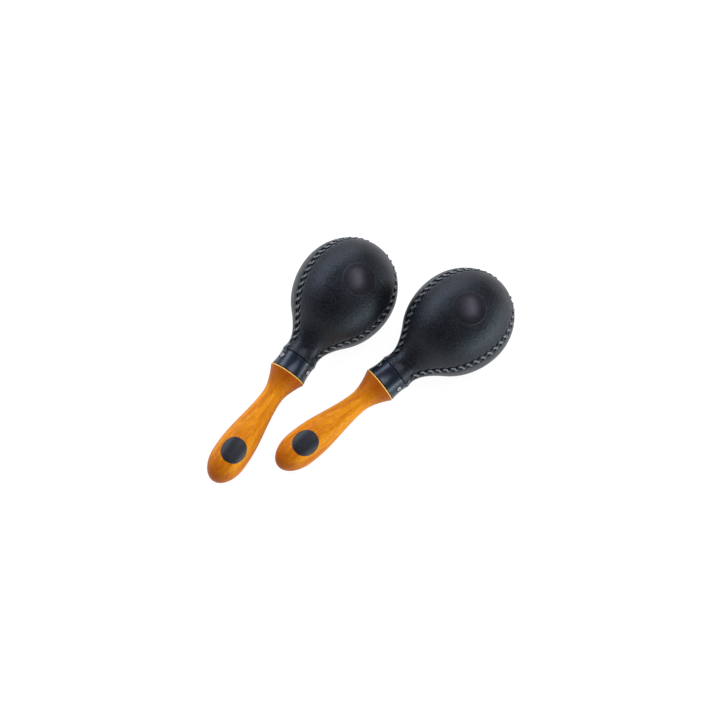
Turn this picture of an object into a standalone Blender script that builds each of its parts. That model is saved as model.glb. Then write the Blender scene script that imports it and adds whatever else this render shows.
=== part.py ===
"""A pair of maracas lying side by side.

Each has a turned wooden handle, a head of three leather panels laced edge to edge over the handle's
spigot, a collar held by three screws, and loose beads in the head. Sizes are in millimetres and a
maraca is modelled upright, butt at the origin and front towards +X, before it is laid down.
"""

import math

import bmesh
import bpy
from mathutils import Matrix, Vector
from mathutils.bvhtree import BVHTree

MM = 0.001
FULL_TURN = 2.0 * math.pi

# Handle, from the round butt up to the rim and the spigot inside the neck
HANDLE_LENGTH = 108.0
BUTT_LENGTH = 24.0
GRIP_RADIUS = 15.2
GRIP_STRAIGHT = 5.0
WAIST_RADIUS = 8.7
WAIST_DROP = 22.0
FLARE_POWER = 1.55
RIM_CHAMFER = 0.8
SPIGOT_RADIUS = 10.4
SPIGOT_CHAMFER = 1.0

# Neck, collar and screws
LEATHER = 2.0
COLLAR_WALL = 2.0
COLLAR_WIDTH = 15.0
COLLAR_FLARE = 0.6
COLLAR_HOLLOW = 0.6
COLLAR_EDGE = 0.5
RIM_STEP = 0.8
LIP_STEP = 0.4
NECK_STEP = 1.0
NECK_LENGTH = 6.5
SLEEVE_SHORTENING = 1.0
SCREW_DROP = 6.0
SCREW_HEAD_RADIUS = 2.3
SCREW_HEAD_HEIGHT = 1.3
SCREW_HEAD_RIM = 0.6
SCREW_DOME_RADIUS = 1.55
SCREW_DOME_DROP = 0.25
SCREW_RADIUS = 1.3
SCREW_LENGTH = 8.0
SEAT_FLOOR = 0.55
SEAT_MARGIN = 0.8

# Head: an egg on a hollow neck
HEAD_RADIUS = 42.7
CROWN_LENGTH = 46.5
BELLY_LENGTH = 52.0
BELLY_SHARE = 0.745
THROAT_LENGTH = 24.8
TIP_RADIUS = 1.2

# Laced seams between the panels
PANELS = 3
SEAM_GAP = 0.6
SEAM_SPANS = 10
SPAN_STITCHES = 2
SEAM_START = 2.0
SEAM_END = 9.0
LACE_RADIUS = 0.8
LACE_ARCH = 0.25
HOLE_WEB = 0.95
HOLE_SHARES = (0.25, 0.75)
GROOVE_DEPTH = 1.0
GROOVE_MARGIN = 0.25
GROOVE_SLOPE = 2.4
GROOVE_LIMITS = (0.25, 0.4, 0.55)

# Loose beads, lying in two rows beside the lowest seam
BEAD_RADIUS = 3.0
BEAD_GAP = 2.2
BEADS_BELOW = 3
BEADS_ABOVE = 1

# How the pair lies: headings from +Y towards +X, fronts turned off straight up
LEFT_HEADING = 34.5
RIGHT_HEADING = 52.2
LEFT_ROLL = -17.0
RIGHT_ROLL = -15.0
HEADS_APART = 14.0
HEADS_BEARING = -16.0
STEEPEST_RISE = 30.0

# Clearances
FIT = 0.3
ROUND_FIT = 0.45
HOLE_FIT = 0.25

# Facets, edges kept sharp past an angle, and the rounds that a search takes
TURN_STEPS = 20
SCREW_STEPS = 8
HOLE_STEPS = 4
PANEL_COLUMNS = 4
CURVE_STEPS = 60
SHARP_EDGE = 35.0
ROUND_EDGE = 80.0
WELD = 0.0000001
GAP_SAMPLES = 4
HALVINGS = 40
SEATINGS = 8

# Worked out from the sizes above
PANEL_ANGLE = FULL_TURN / PANELS
GRIP_END = BUTT_LENGTH + GRIP_STRAIGHT
WAIST_HEIGHT = HANDLE_LENGTH - WAIST_DROP
SLEEVE_BORE = SPIGOT_RADIUS + ROUND_FIT
SLEEVE_RADIUS = SLEEVE_BORE + LEATHER
COLLAR_BORE = SLEEVE_RADIUS + ROUND_FIT
COLLAR_RADIUS = COLLAR_BORE + COLLAR_WALL
RIM_RADIUS = COLLAR_RADIUS + RIM_STEP
LIP_RADIUS = COLLAR_RADIUS + LIP_STEP
NECK_RADIUS = LIP_RADIUS - NECK_STEP
COLLAR_BOTTOM = HANDLE_LENGTH + FIT
COLLAR_TOP = COLLAR_BOTTOM + COLLAR_WIDTH
SHOULDER = COLLAR_TOP + FIT
SLEEVE_BOTTOM = HANDLE_LENGTH + SLEEVE_SHORTENING
NECK_WAIST = SHOULDER + NECK_LENGTH
SCREW_HEIGHT = COLLAR_TOP - SCREW_DROP
SCREW_SEAT = COLLAR_BORE + SEAT_FLOOR
BELLY = NECK_WAIST + THROAT_LENGTH + BELLY_SHARE * BELLY_LENGTH
HOLE_RADIUS = (LACE_RADIUS + HOLE_FIT) / math.cos(math.pi / HOLE_STEPS)
HOLE_OFFSET = SEAM_GAP / 2 + HOLE_WEB + HOLE_RADIUS
GROOVE_FLAT = HOLE_OFFSET + HOLE_RADIUS + GROOVE_MARGIN
GROOVE_WIDTH = GROOVE_FLAT + GROOVE_SLOPE


def hermite(start, start_slope, end, end_slope, steps):
    """Points (r, z) after the first of a smooth run between two points with given slopes dr/dz."""
    span = end[1] - start[1]
    points = []
    for step in range(1, steps + 1):
        t = step / steps
        radius = start[0] * (1 - 3 * t**2 + 2 * t**3) + end[0] * (3 * t**2 - 2 * t**3)
        radius += span * (start_slope * (t - 2 * t**2 + t**3) + end_slope * (t**3 - t**2))
        points.append((radius, start[1] + t * span))
    return points


def handle_outline(cap_steps=5, grip_steps=5, flare_steps=4):
    """Wooden outline (r, z) from the middle of the butt to the edge of the rim."""
    points = []
    for step in range(cap_steps + 1):
        angle = step / cap_steps * math.pi / 2
        points.append((GRIP_RADIUS * math.sin(angle), BUTT_LENGTH * (1 - math.cos(angle))))
    grip_top = (GRIP_RADIUS, GRIP_END)
    waist = (WAIST_RADIUS, WAIST_HEIGHT)
    points.append(grip_top)
    points += hermite(grip_top, 0.0, waist, 0.0, grip_steps)
    flare_height = HANDLE_LENGTH - RIM_CHAMFER - WAIST_HEIGHT
    for step in range(1, flare_steps + 1):
        t = step / flare_steps
        radius = WAIST_RADIUS + (RIM_RADIUS - WAIST_RADIUS) * t**FLARE_POWER
        points.append((radius, WAIST_HEIGHT + t * flare_height))
    return points


def head_outline(steps=CURVE_STEPS):
    """Leather outline (r, z) from the lip at the collar over the belly to the tip of the crown."""
    lip = (LIP_RADIUS, SHOULDER)
    waist = (NECK_RADIUS, NECK_WAIST)
    reach = BELLY_SHARE * BELLY_LENGTH
    rise = math.sqrt(1 - BELLY_SHARE**2)
    join = (HEAD_RADIUS * rise, BELLY - reach)
    join_slope = HEAD_RADIUS * BELLY_SHARE / (BELLY_LENGTH * rise)
    points = [lip]
    points += hermite(lip, 0.0, waist, 0.0, steps // 6)
    points += hermite(waist, 0.0, join, join_slope, steps // 2)
    start = math.acos(BELLY_SHARE)
    for step in range(1, steps + 1):
        angle = start + step / steps * (math.pi / 2 - start)
        points.append((HEAD_RADIUS * math.sin(angle), BELLY - BELLY_LENGTH * math.cos(angle)))
    end = math.acos(TIP_RADIUS / HEAD_RADIUS)
    for step in range(1, steps + 1):
        angle = step / steps * end
        points.append((HEAD_RADIUS * math.cos(angle), BELLY + CROWN_LENGTH * math.sin(angle)))
    return points


class Meridian:
    """An outline of the head measured along its length, straight between its points."""

    def __init__(self, points):
        self.points = points
        self.lengths = [0.0]
        for (r0, z0), (r1, z1) in zip(points, points[1:]):
            self.lengths.append(self.lengths[-1] + math.hypot(r1 - r0, z1 - z0))
        self.length = self.lengths[-1]

    def run_normal(self, index):
        """Outward normal (nr, nz) of the run after a point."""
        (r0, z0), (r1, z1) = self.points[index], self.points[index + 1]
        span = self.lengths[index + 1] - self.lengths[index]
        return (z1 - z0) / span, (r0 - r1) / span

    def point_normal(self, index):
        """Mitred normal at a point: a step along it keeps both its runs equally far."""
        before = Vector(self.run_normal(max(index - 1, 0)))
        after = Vector(self.run_normal(min(index, len(self.points) - 2)))
        middle = (before + after).normalized()
        return middle / middle.dot(after)

    def at(self, distance):
        """Radius, height and outward normal at a distance from the first point."""
        index = 0
        while index < len(self.lengths) - 2 and self.lengths[index + 1] < distance:
            index += 1
        (r0, z0), (r1, z1) = self.points[index], self.points[index + 1]
        t = (distance - self.lengths[index]) / (self.lengths[index + 1] - self.lengths[index])
        return r0 + t * (r1 - r0), z0 + t * (z1 - z0), *self.run_normal(index)

    def place(self, distance, lateral, height):
        """Point near the seam in the XZ plane: along it, beside it and above the leather's surface."""
        radius, level, nr, nz = self.at(distance)
        radius += height * nr
        level += height * nz
        return Vector((math.sqrt(radius**2 - lateral**2), lateral, level))

    def normal(self, distance, lateral):
        """Outward direction of the leather beside the seam."""
        radius, _, nr, nz = self.at(distance)
        side = lateral / radius
        return Vector((nr * math.sqrt(1 - side**2), nr * side, nz)).normalized()


def seam_meridian():
    """The head's outline in straight runs: lip, neck, equal laced spans and the bare tip."""
    smooth = Meridian(head_outline())
    start = NECK_LENGTH + SEAM_START
    span = (smooth.length - start - SEAM_END) / SEAM_SPANS
    distances = [0.0, NECK_LENGTH]
    distances += [start + index * span for index in range(SEAM_SPANS + 1)]
    distances.append(smooth.length)
    return Meridian([smooth.at(distance)[:2] for distance in distances])


def clear_scene():
    for old in list(bpy.data.objects):
        bpy.data.objects.remove(old, do_unlink=True)


def new_collection(name):
    collection = bpy.data.collections.new(name)
    bpy.context.scene.collection.children.link(collection)
    return collection


def new_material(name, colour, roughness, metallic=0.0):
    material = bpy.data.materials.new(name)
    material.use_nodes = True
    shader = material.node_tree.nodes["Principled BSDF"]
    shader.inputs["Base Color"].default_value = (*colour, 1.0)
    shader.inputs["Roughness"].default_value = roughness
    shader.inputs["Metallic"].default_value = metallic
    material.diffuse_color = (*colour, 1.0)
    return material


def add_object(name, data, collection):
    made = bpy.data.objects.new(name, data)
    collection.objects.link(made)
    return made


def bake(source, smooth_angle):
    """The finished mesh of an object with its modifiers, welded and shaded; the object is removed."""
    depsgraph = bpy.context.evaluated_depsgraph_get()
    mesh = bpy.data.meshes.new_from_object(source.evaluated_get(depsgraph))
    mesh.name = source.name
    welded = bmesh.new()
    welded.from_mesh(mesh)
    bmesh.ops.remove_doubles(welded, verts=welded.verts, dist=WELD)
    bmesh.ops.recalc_face_normals(welded, faces=welded.faces)
    welded.to_mesh(mesh)
    welded.free()
    mesh.shade_smooth()
    mesh.set_sharp_from_angle(angle=math.radians(smooth_angle))
    bpy.data.objects.remove(source, do_unlink=True)
    return mesh


def turned(name, outline, steps, collection):
    """A turned object from an (r, z) outline given from its top down its outer side."""
    mesh = bpy.data.meshes.new(name)
    points = [(radius * MM, 0.0, height * MM) for radius, height in outline]
    edges = [(index, index + 1) for index in range(len(points) - 1)]
    mesh.from_pydata(points, edges, [])
    made = add_object(name, mesh, collection)
    screw = made.modifiers.new("turn", "SCREW")
    screw.steps = steps
    screw.render_steps = steps
    screw.use_merge_vertices = True
    screw.merge_threshold = WELD
    return made


def cut(target, tool, name, cutters):
    """Cut a target by the closed shapes in a bmesh, which becomes a cutter object."""
    mesh = bpy.data.meshes.new(name)
    tool.to_mesh(mesh)
    tool.free()
    cutter = add_object(name, mesh, cutters)
    cutter.hide_render = True
    cutter.display_type = "WIRE"
    boolean = target.modifiers.new(name, "BOOLEAN")
    boolean.operation = "DIFFERENCE"
    boolean.solver = "EXACT"
    boolean.object = cutter


def add_rod(tool, radius, steps, length, matrix):
    """Add a closed rod to a cutter, along its own Z."""
    bmesh.ops.create_cone(
        tool, cap_ends=True, segments=steps, radius1=radius * MM, radius2=radius * MM,
        depth=length * MM, matrix=matrix,
    )


def screw_bores(radius, inner, outer):
    """Cutter of bores square to the axis at each seam, between two distances from it."""
    tool = bmesh.new()
    lay = Matrix.Rotation(math.pi / 2, 4, "Y")
    shift = Matrix.Translation(Vector(((inner + outer) / 2, 0.0, SCREW_HEIGHT)) * MM)
    for seam in range(PANELS):
        turn = Matrix.Rotation((seam + 0.5) * PANEL_ANGLE, 4, "Z")
        add_rod(tool, radius, SCREW_STEPS, outer - inner, turn @ shift @ lay)
    return tool


def make_handle(collection, cutters):
    """Turned handle with its spigot and the pilot holes for the screws."""
    spigot_top = SHOULDER + FIT
    outline = [
        (0.0, spigot_top),
        (SPIGOT_RADIUS - SPIGOT_CHAMFER, spigot_top),
        (SPIGOT_RADIUS, spigot_top - SPIGOT_CHAMFER),
        (SPIGOT_RADIUS, HANDLE_LENGTH),
        (RIM_RADIUS - RIM_CHAMFER, HANDLE_LENGTH),
    ]
    outline += reversed(handle_outline())
    handle = turned("handle", outline, TURN_STEPS, collection)
    pilots = screw_bores(SCREW_RADIUS + FIT, SCREW_SEAT - SCREW_LENGTH, SPIGOT_RADIUS + FIT)
    cut(handle, pilots, "pilot_holes", cutters)
    return bake(handle, SHARP_EDGE)


def collar_side(steps=4):
    """Collar's outer side (r, z) between its bevelled edges, from its top down."""
    points = []
    for step in range(steps + 1):
        t = step / steps
        radius = COLLAR_RADIUS + COLLAR_FLARE * t - 4 * COLLAR_HOLLOW * t * (1 - t)
        points.append((radius, COLLAR_TOP - COLLAR_EDGE - t * (COLLAR_WIDTH - 2 * COLLAR_EDGE)))
    return points


def make_collar(collection, cutters):
    """Hollow-sided band round the neck, flared at its bottom, with a counterbored hole at each seam."""
    top = (COLLAR_RADIUS - COLLAR_EDGE, COLLAR_TOP)
    outline = [
        top,
        *collar_side(),
        (COLLAR_RADIUS + COLLAR_FLARE - COLLAR_EDGE, COLLAR_BOTTOM),
        (COLLAR_BORE, COLLAR_BOTTOM),
        (COLLAR_BORE, COLLAR_TOP),
        top,
    ]
    collar = turned("collar", outline, TURN_STEPS, collection)
    holes = screw_bores(SCREW_RADIUS + FIT, COLLAR_BORE - COLLAR_WALL, SCREW_SEAT + FIT)
    seats = screw_bores(SCREW_HEAD_RADIUS + SEAT_MARGIN, SCREW_SEAT, COLLAR_RADIUS + COLLAR_WALL)
    cut(collar, holes, "screw_holes", cutters)
    cut(collar, seats, "screw_seats", cutters)
    return bake(collar, SHARP_EDGE)


def make_screw(collection):
    """Pan-head screw along +Z, its head's underside at the origin."""
    outline = [
        (0.0, SCREW_HEAD_HEIGHT),
        (SCREW_DOME_RADIUS, SCREW_HEAD_HEIGHT - SCREW_DOME_DROP),
        (SCREW_HEAD_RADIUS, SCREW_HEAD_RIM),
        (SCREW_HEAD_RADIUS, 0.0),
        (SCREW_RADIUS, 0.0),
        (SCREW_RADIUS, SCREW_RADIUS - SCREW_LENGTH),
        (0.0, -SCREW_LENGTH),
    ]
    return bake(turned("screw", outline, SCREW_STEPS, collection), SHARP_EDGE)


def stitch_places(meridian):
    """Distances along the seam of each stitch's hole on its near and far side."""
    near, far = [], []
    first = len(meridian.points) - SEAM_SPANS - 2
    for span in range(first, first + SEAM_SPANS):
        start, end = meridian.lengths[span], meridian.lengths[span + 1]
        pitch = (end - start) / SPAN_STITCHES
        near += [start + (index + HOLE_SHARES[0]) * pitch for index in range(SPAN_STITCHES)]
        far += [start + (index + HOLE_SHARES[1]) * pitch for index in range(SPAN_STITCHES)]
    return near, far


def panel_rows(meridian):
    """Rows of a panel: outer and inner (r, z), the outward normal and the groove's depth at the seams."""
    rows = [
        ((SLEEVE_RADIUS, SLEEVE_BOTTOM), (SLEEVE_BORE, SLEEVE_BOTTOM), (1.0, 0.0), 0.0),
        ((SLEEVE_RADIUS, SHOULDER), (SLEEVE_BORE, SHOULDER), (1.0, 0.0), 0.0),
        ((LIP_RADIUS, SHOULDER), (SLEEVE_BORE, SHOULDER + LEATHER), (1.0, 0.0), 0.0),
    ]
    for index in range(1, len(meridian.points)):
        radius, level = meridian.points[index]
        nr, nz = meridian.point_normal(index)
        inner = (radius - LEATHER * nr, level - LEATHER * nz)
        sink = GROOVE_DEPTH if index > 1 else 0.0
        rows.append(((radius, level), inner, (nr, nz), sink))
    return rows


def column_angles(radius):
    """Angles of a row's columns off the panel's middle, and whether each lies in a seam's groove."""
    edge = PANEL_ANGLE / 2
    groove = []
    laterals = (SEAM_GAP / 2, GROOVE_FLAT, GROOVE_WIDTH)
    for lateral, limit, sunk in zip(laterals, GROOVE_LIMITS, (1.0, 1.0, 0.0)):
        groove.append((edge - math.asin(min(lateral / radius, limit)), sunk))
    rim = groove[-1][0]
    middle = []
    for column in range(1, PANEL_COLUMNS):
        middle.append((rim * (1 - 2 * column / PANEL_COLUMNS), 0.0))
    mirrored = [(-angle, sunk) for angle, sunk in reversed(groove)]
    return groove + middle + mirrored


def panel_blank(meridian, collection):
    """Leather panel of one third of the head, drawn in along both seams, before its holes."""
    rows = panel_rows(meridian)
    mesh = bmesh.new()
    outer, inner = [], []
    for (radius, level), (bore, bore_level), (nr, nz), sink in rows:
        outer_row, inner_row = [], []
        for angle, sunk in column_angles(radius):
            depth = sink * sunk
            outer_row.append(mesh.verts.new(polar(radius - depth * nr, angle, level - depth * nz)))
        for angle, sunk in column_angles(bore):
            depth = sink * sunk
            inner_row.append(mesh.verts.new(polar(bore - depth * nr, angle, bore_level - depth * nz)))
        outer.append(outer_row)
        inner.append(inner_row)
    last = len(outer[0]) - 1
    for row in range(len(rows) - 1):
        for column in range(last):
            for sheet in (outer, inner):
                mesh.faces.new((sheet[row][column], sheet[row][column + 1],
                                sheet[row + 1][column + 1], sheet[row + 1][column]))
        for column in (0, last):
            mesh.faces.new((outer[row][column], outer[row + 1][column],
                            inner[row + 1][column], inner[row][column]))
    for row in (0, len(rows) - 1):
        for column in range(last):
            mesh.faces.new((outer[row][column], outer[row][column + 1],
                            inner[row][column + 1], inner[row][column]))
    bmesh.ops.recalc_face_normals(mesh, faces=mesh.faces)
    bmesh.ops.triangulate(mesh, faces=mesh.faces, quad_method="FIXED")
    data = bpy.data.meshes.new("panel")
    mesh.to_mesh(data)
    mesh.free()
    return add_object("panel", data, collection)


def polar(radius, angle, level):
    return Vector((radius * math.cos(angle), radius * math.sin(angle), level)) * MM


def add_lace_holes(tool, meridian, distances, lateral, seam):
    """Add the holes on one side of a seam to a cutter."""
    turn = Matrix.Rotation(seam, 4, "Z")
    for distance in distances:
        spot = meridian.place(distance, lateral, -GROOVE_DEPTH - LEATHER / 2) * MM
        lean = meridian.normal(distance, lateral).to_track_quat("Z", "Y").to_matrix().to_4x4()
        add_rod(tool, HOLE_RADIUS, HOLE_STEPS, 2 * LEATHER, turn @ Matrix.Translation(spot) @ lean)


def make_panel(meridian, collection, cutters):
    """Panel with its lacing holes and the notches that clear the screws."""
    panel = panel_blank(meridian, collection)
    near, far = stitch_places(meridian)
    tool = screw_bores(SCREW_RADIUS + FIT, SPIGOT_RADIUS, COLLAR_RADIUS)
    add_lace_holes(tool, meridian, near, -HOLE_OFFSET, PANEL_ANGLE / 2)
    add_lace_holes(tool, meridian, far, HOLE_OFFSET, -PANEL_ANGLE / 2)
    cut(panel, tool, "panel_holes", cutters)
    return bake(panel, SHARP_EDGE)


def lace_route(meridian):
    """Points of the lace: out of a near hole, over the seam, into a far hole, on to the next near one."""
    over = LACE_RADIUS + FIT - GROOVE_DEPTH
    under = -LACE_RADIUS - FIT - GROOVE_DEPTH - LEATHER
    points = []
    for near, far in zip(*stitch_places(meridian)):
        points.append(meridian.place(near, -HOLE_OFFSET, under))
        points.append(meridian.place(near, -HOLE_OFFSET, over))
        points.append(meridian.place((near + far) / 2, 0.0, over + LACE_ARCH))
        points.append(meridian.place(far, HOLE_OFFSET, over))
        points.append(meridian.place(far, HOLE_OFFSET, under))
    return points


def least_gap(points, radius):
    """Least gap in millimetres between runs of a tube that don't follow each other."""
    gap = math.inf
    for first in range(len(points) - 1):
        for second in range(first + 3, len(points) - 1):
            for sample in range(GAP_SAMPLES):
                spot = points[first].lerp(points[first + 1], sample / GAP_SAMPLES)
                run = points[second + 1] - points[second]
                along = max(0.0, min(1.0, (spot - points[second]).dot(run) / run.length_squared))
                gap = min(gap, (spot - points[second] - along * run).length - 2 * radius)
    return gap


def make_lace(meridian, collection):
    """Leather thong whipped along the seam in the XZ plane, one unbroken run."""
    points = lace_route(meridian)
    print("lace's least gap to itself, mm:", round(least_gap(points, LACE_RADIUS), 2))
    curve = bpy.data.curves.new("lace", "CURVE")
    curve.dimensions = "3D"
    curve.bevel_depth = LACE_RADIUS * MM
    curve.bevel_resolution = 0
    curve.use_fill_caps = True
    spline = curve.splines.new("POLY")
    spline.points.add(len(points) - 1)
    for spot, point in zip(points, spline.points):
        point.co = (*(spot * MM), 1.0)
    return bake(add_object("lace", curve, collection), ROUND_EDGE)


def make_bead(collection):
    mesh = bmesh.new()
    bmesh.ops.create_icosphere(mesh, subdivisions=2, radius=BEAD_RADIUS * MM)
    data = bpy.data.meshes.new("bead")
    mesh.to_mesh(data)
    mesh.free()
    return bake(add_object("bead", data, collection), ROUND_EDGE)


def rest_angle():
    """Rise of the axis when grip and belly both touch the floor."""
    outlines = (handle_outline(), head_outline())
    low, high = 0.0, math.radians(STEEPEST_RISE)
    for _ in range(HALVINGS):
        middle = (low + high) / 2
        lowest = []
        for outline in outlines:
            lowest.append(min(z * math.sin(middle) - r * math.cos(middle) for r, z in outline))
        if lowest[0] < lowest[1]:
            high = middle
        else:
            low = middle
    return (low + high) / 2


def lying_matrix(heading, roll, rise):
    """Turn that lays a maraca down along a heading, front rolled off straight up."""
    bearing = math.radians(heading)
    level = Vector((math.sin(bearing), math.cos(bearing), 0.0))
    along = level * math.cos(rise) + Vector((0.0, 0.0, math.sin(rise)))
    upward = (Vector((0.0, 0.0, 1.0)) - along * along.z).normalized()
    side = upward.cross(along)
    front = upward * math.cos(math.radians(roll)) + side * math.sin(math.radians(roll))
    across = along.cross(front)
    return Matrix((front, across, along)).transposed().to_4x4()


def head_wall(panel):
    """Search tree of the head's leather, in a maraca's own frame."""
    wall = bmesh.new()
    for _ in range(PANELS):
        wall.from_mesh(panel)
        wall.transform(Matrix.Rotation(PANEL_ANGLE, 4, "Z"))
    tree = BVHTree.FromBMesh(wall)
    wall.free()
    return tree


def nearest_seam(angle):
    """Angle of the seam closest to a direction round the axis."""
    return (round(angle / PANEL_ANGLE - 0.5) + 0.5) * PANEL_ANGLE


def low_point(meridian, rise):
    """Distance along the head's outline to its lowest point when the maraca lies down."""
    heights = [level * math.sin(rise) - radius * math.cos(rise) for radius, level in meridian.points]
    return meridian.lengths[heights.index(min(heights))]


def bead_places(meridian, roll, rise, wall):
    """Bead middles in a maraca's own frame, seated on both sides of the lowest seam's lace."""
    bottom = math.radians(roll) - math.pi
    seam = nearest_seam(bottom)
    downhill = math.copysign(1.0, bottom - seam)
    spacing = 2 * BEAD_RADIUS + BEAD_GAP
    first = HOLE_OFFSET + LACE_RADIUS + BEAD_GAP + BEAD_RADIUS
    laterals = [downhill * (first + index * spacing) for index in range(BEADS_BELOW)]
    laterals += [-downhill * (first + index * spacing) for index in range(BEADS_ABOVE)]
    places = []
    for offset in (-spacing / 2, spacing / 2):
        radius, level, nr, nz = meridian.at(low_point(meridian, rise) + offset)
        for lateral in laterals:
            angle = seam + lateral / (radius - LEATHER - BEAD_RADIUS)
            depth = LEATHER + BEAD_RADIUS + ROUND_FIT
            for _ in range(SEATINGS):
                place = polar(radius - depth * nr, angle, level - depth * nz)
                gap = wall.find_nearest(place)[3] / MM - BEAD_RADIUS
                depth += FIT - gap
            places.append(place)
    return places


def add_piece(name, mesh, frame, collection):
    """A named piece on a maraca's frame, which shares its mesh with alike pieces."""
    piece = add_object(name, mesh, collection)
    piece.parent = frame
    return piece


def build_maraca(side, roll, rise, meshes, meridian, collection):
    """One maraca on its own frame, still upright at the origin."""
    frame = add_object(f"{side}_maraca_frame", None, collection)
    frame.empty_display_size = GRIP_RADIUS * MM
    add_piece(f"{side}_handle", meshes["handle"], frame, collection)
    add_piece(f"{side}_collar", meshes["collar"], frame, collection)
    for number in range(PANELS):
        name = f"back_panel_{number}" if number else "front_panel"
        panel = add_piece(f"{side}_{name}", meshes["panel"], frame, collection)
        panel.rotation_euler.z = number * PANEL_ANGLE
        seam = (number + 0.5) * PANEL_ANGLE
        lace = add_piece(f"{side}_seam_lace_{number + 1}", meshes["lace"], frame, collection)
        lace.rotation_euler.z = seam
        screw = add_piece(f"{side}_collar_screw_{number + 1}", meshes["screw"], frame, collection)
        screw.location = polar(SCREW_SEAT + FIT, seam, SCREW_HEIGHT)
        screw.rotation_euler = (0.0, math.pi / 2, seam)
    wall = head_wall(meshes["panel"])
    for number, place in enumerate(bead_places(meridian, roll, rise, wall)):
        bead = add_piece(f"{side}_bead_{number + 1}", meshes["bead"], frame, collection)
        bead.location = place
    return frame


def lay_out(left, right, rise):
    """Lay both maracas down, heads side by side."""
    left.matrix_world = lying_matrix(LEFT_HEADING, LEFT_ROLL, rise)
    right.matrix_world = lying_matrix(RIGHT_HEADING, RIGHT_ROLL, rise)
    belly = Vector((0.0, 0.0, BELLY * MM))
    bearing = math.radians(HEADS_BEARING)
    apart = (2 * HEAD_RADIUS + HEADS_APART) * MM
    step = Vector((math.cos(bearing), math.sin(bearing), 0.0)) * apart
    right.matrix_world.translation = left.matrix_world @ belly + step - right.matrix_world @ belly


def settle(frames, collection):
    """Move the pair so that it stands on the floor with its footprint centred on the origin."""
    bpy.context.view_layer.update()
    corners = []
    for piece in collection.objects:
        if piece.type == "MESH":
            corners += [piece.matrix_world @ vertex.co for vertex in piece.data.vertices]
    low = [min(corner[axis] for corner in corners) for axis in range(3)]
    high = [max(corner[axis] for corner in corners) for axis in range(3)]
    shift = Vector(((low[0] + high[0]) / 2, (low[1] + high[1]) / 2, low[2]))
    for frame in frames:
        frame.matrix_world.translation -= shift


def main():
    clear_scene()
    collection = new_collection("maracas")
    cutters = new_collection("cutters")
    meridian = seam_meridian()
    meshes = {
        "handle": make_handle(collection, cutters),
        "collar": make_collar(collection, cutters),
        "screw": make_screw(collection),
        "panel": make_panel(meridian, collection, cutters),
        "lace": make_lace(meridian, collection),
        "bead": make_bead(collection),
    }
    materials = {
        "handle": new_material("lacquered_wood", (0.52, 0.20, 0.03), 0.3),
        "collar": new_material("black_collar", (0.02, 0.022, 0.026), 0.25),
        "screw": new_material("bright_steel", (0.6, 0.6, 0.6), 0.25, 1.0),
        "panel": new_material("black_leather", (0.03, 0.032, 0.036), 0.6),
        "lace": new_material("leather_lace", (0.05, 0.055, 0.06), 0.55),
        "bead": new_material("seed_bead", (0.25, 0.12, 0.05), 0.5),
    }
    for name, mesh in meshes.items():
        mesh.materials.append(materials[name])
    rise = rest_angle()
    left = build_maraca("left", LEFT_ROLL, rise, meshes, meridian, collection)
    right = build_maraca("right", RIGHT_ROLL, rise, meshes, meridian, collection)
    lay_out(left, right, rise)
    settle((left, right), collection)


main()
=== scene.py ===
"""Dresses a pair of leather maracas that lies on the floor of a small studio.

A maraca is worked out upright in millimetres, butt at the origin and front towards +X, and laid down by
the same frame as its CAD solids.
"""

import logging
import math
from bisect import bisect_right
from collections.abc import Callable, Sequence
from dataclasses import dataclass
from enum import Enum
from functools import cache
from itertools import pairwise

import bmesh
import bpy
from mathutils import Matrix, Vector, noise


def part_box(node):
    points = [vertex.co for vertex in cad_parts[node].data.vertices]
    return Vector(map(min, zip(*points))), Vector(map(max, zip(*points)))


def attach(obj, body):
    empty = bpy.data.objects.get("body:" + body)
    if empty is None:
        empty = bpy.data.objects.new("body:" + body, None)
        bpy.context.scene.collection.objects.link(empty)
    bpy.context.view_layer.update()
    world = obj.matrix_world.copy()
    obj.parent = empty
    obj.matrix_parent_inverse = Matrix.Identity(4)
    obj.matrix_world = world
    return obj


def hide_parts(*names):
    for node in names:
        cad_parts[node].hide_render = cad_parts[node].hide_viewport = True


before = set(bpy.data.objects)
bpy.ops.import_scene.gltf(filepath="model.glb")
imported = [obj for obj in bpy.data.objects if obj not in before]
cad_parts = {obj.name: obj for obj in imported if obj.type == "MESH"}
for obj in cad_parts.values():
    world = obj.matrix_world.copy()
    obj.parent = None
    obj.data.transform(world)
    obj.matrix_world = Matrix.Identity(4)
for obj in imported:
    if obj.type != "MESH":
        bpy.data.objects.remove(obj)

LOG = logging.getLogger("maracas")
MM = 0.001
FULL_TURN = 2.0 * math.pi
QUARTER_TURN = FULL_TURN / 4
PANELS = 3
PANEL_ANGLE = FULL_TURN / PANELS
SHARP_EDGE = math.radians(38.0)
PATCH_STEPS = 96
PATCH_DEPTH = 1.0
OWN_FRAME = "own_frame"

Span = tuple[float, float]
Colour = tuple[float, float, float, float]
Outline = list[Span]
Socket = bpy.types.NodeSocket
Vert = bmesh.types.BMVert


class Side(Enum):
    """The two maracas of the pair, as the camera sees them."""

    LEFT = "left"
    RIGHT = "right"


class Slot(Enum):
    """Material slots of the record."""

    WOOD = "lacquered_wood"
    COLLAR = "black_collar"
    LEATHER = "black_leather"
    LACE = "leather_lace"
    STEEL = "bright_steel"
    SEED = "seed_bead"


class Fade(Enum):
    """How a value goes over from one end of a span to the other, by Blender's names."""

    SOFT = "SMOOTHSTEP"
    EVEN = "LINEAR"


def linear(colour: str) -> Colour:
    """Turn an sRGB hex colour into linear light.

    Args:
        colour: Six hex digits after a hash sign.

    Returns:
        Linear red, green and blue, and full opacity.
    """
    levels = [int(colour[start : start + 2], 16) / 255 for start in (1, 3, 5)]
    light = [level / 12.92 if level <= 0.04045 else ((level + 0.055) / 1.055) ** 2.4 for level in levels]
    return (*light, 1.0)


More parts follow.
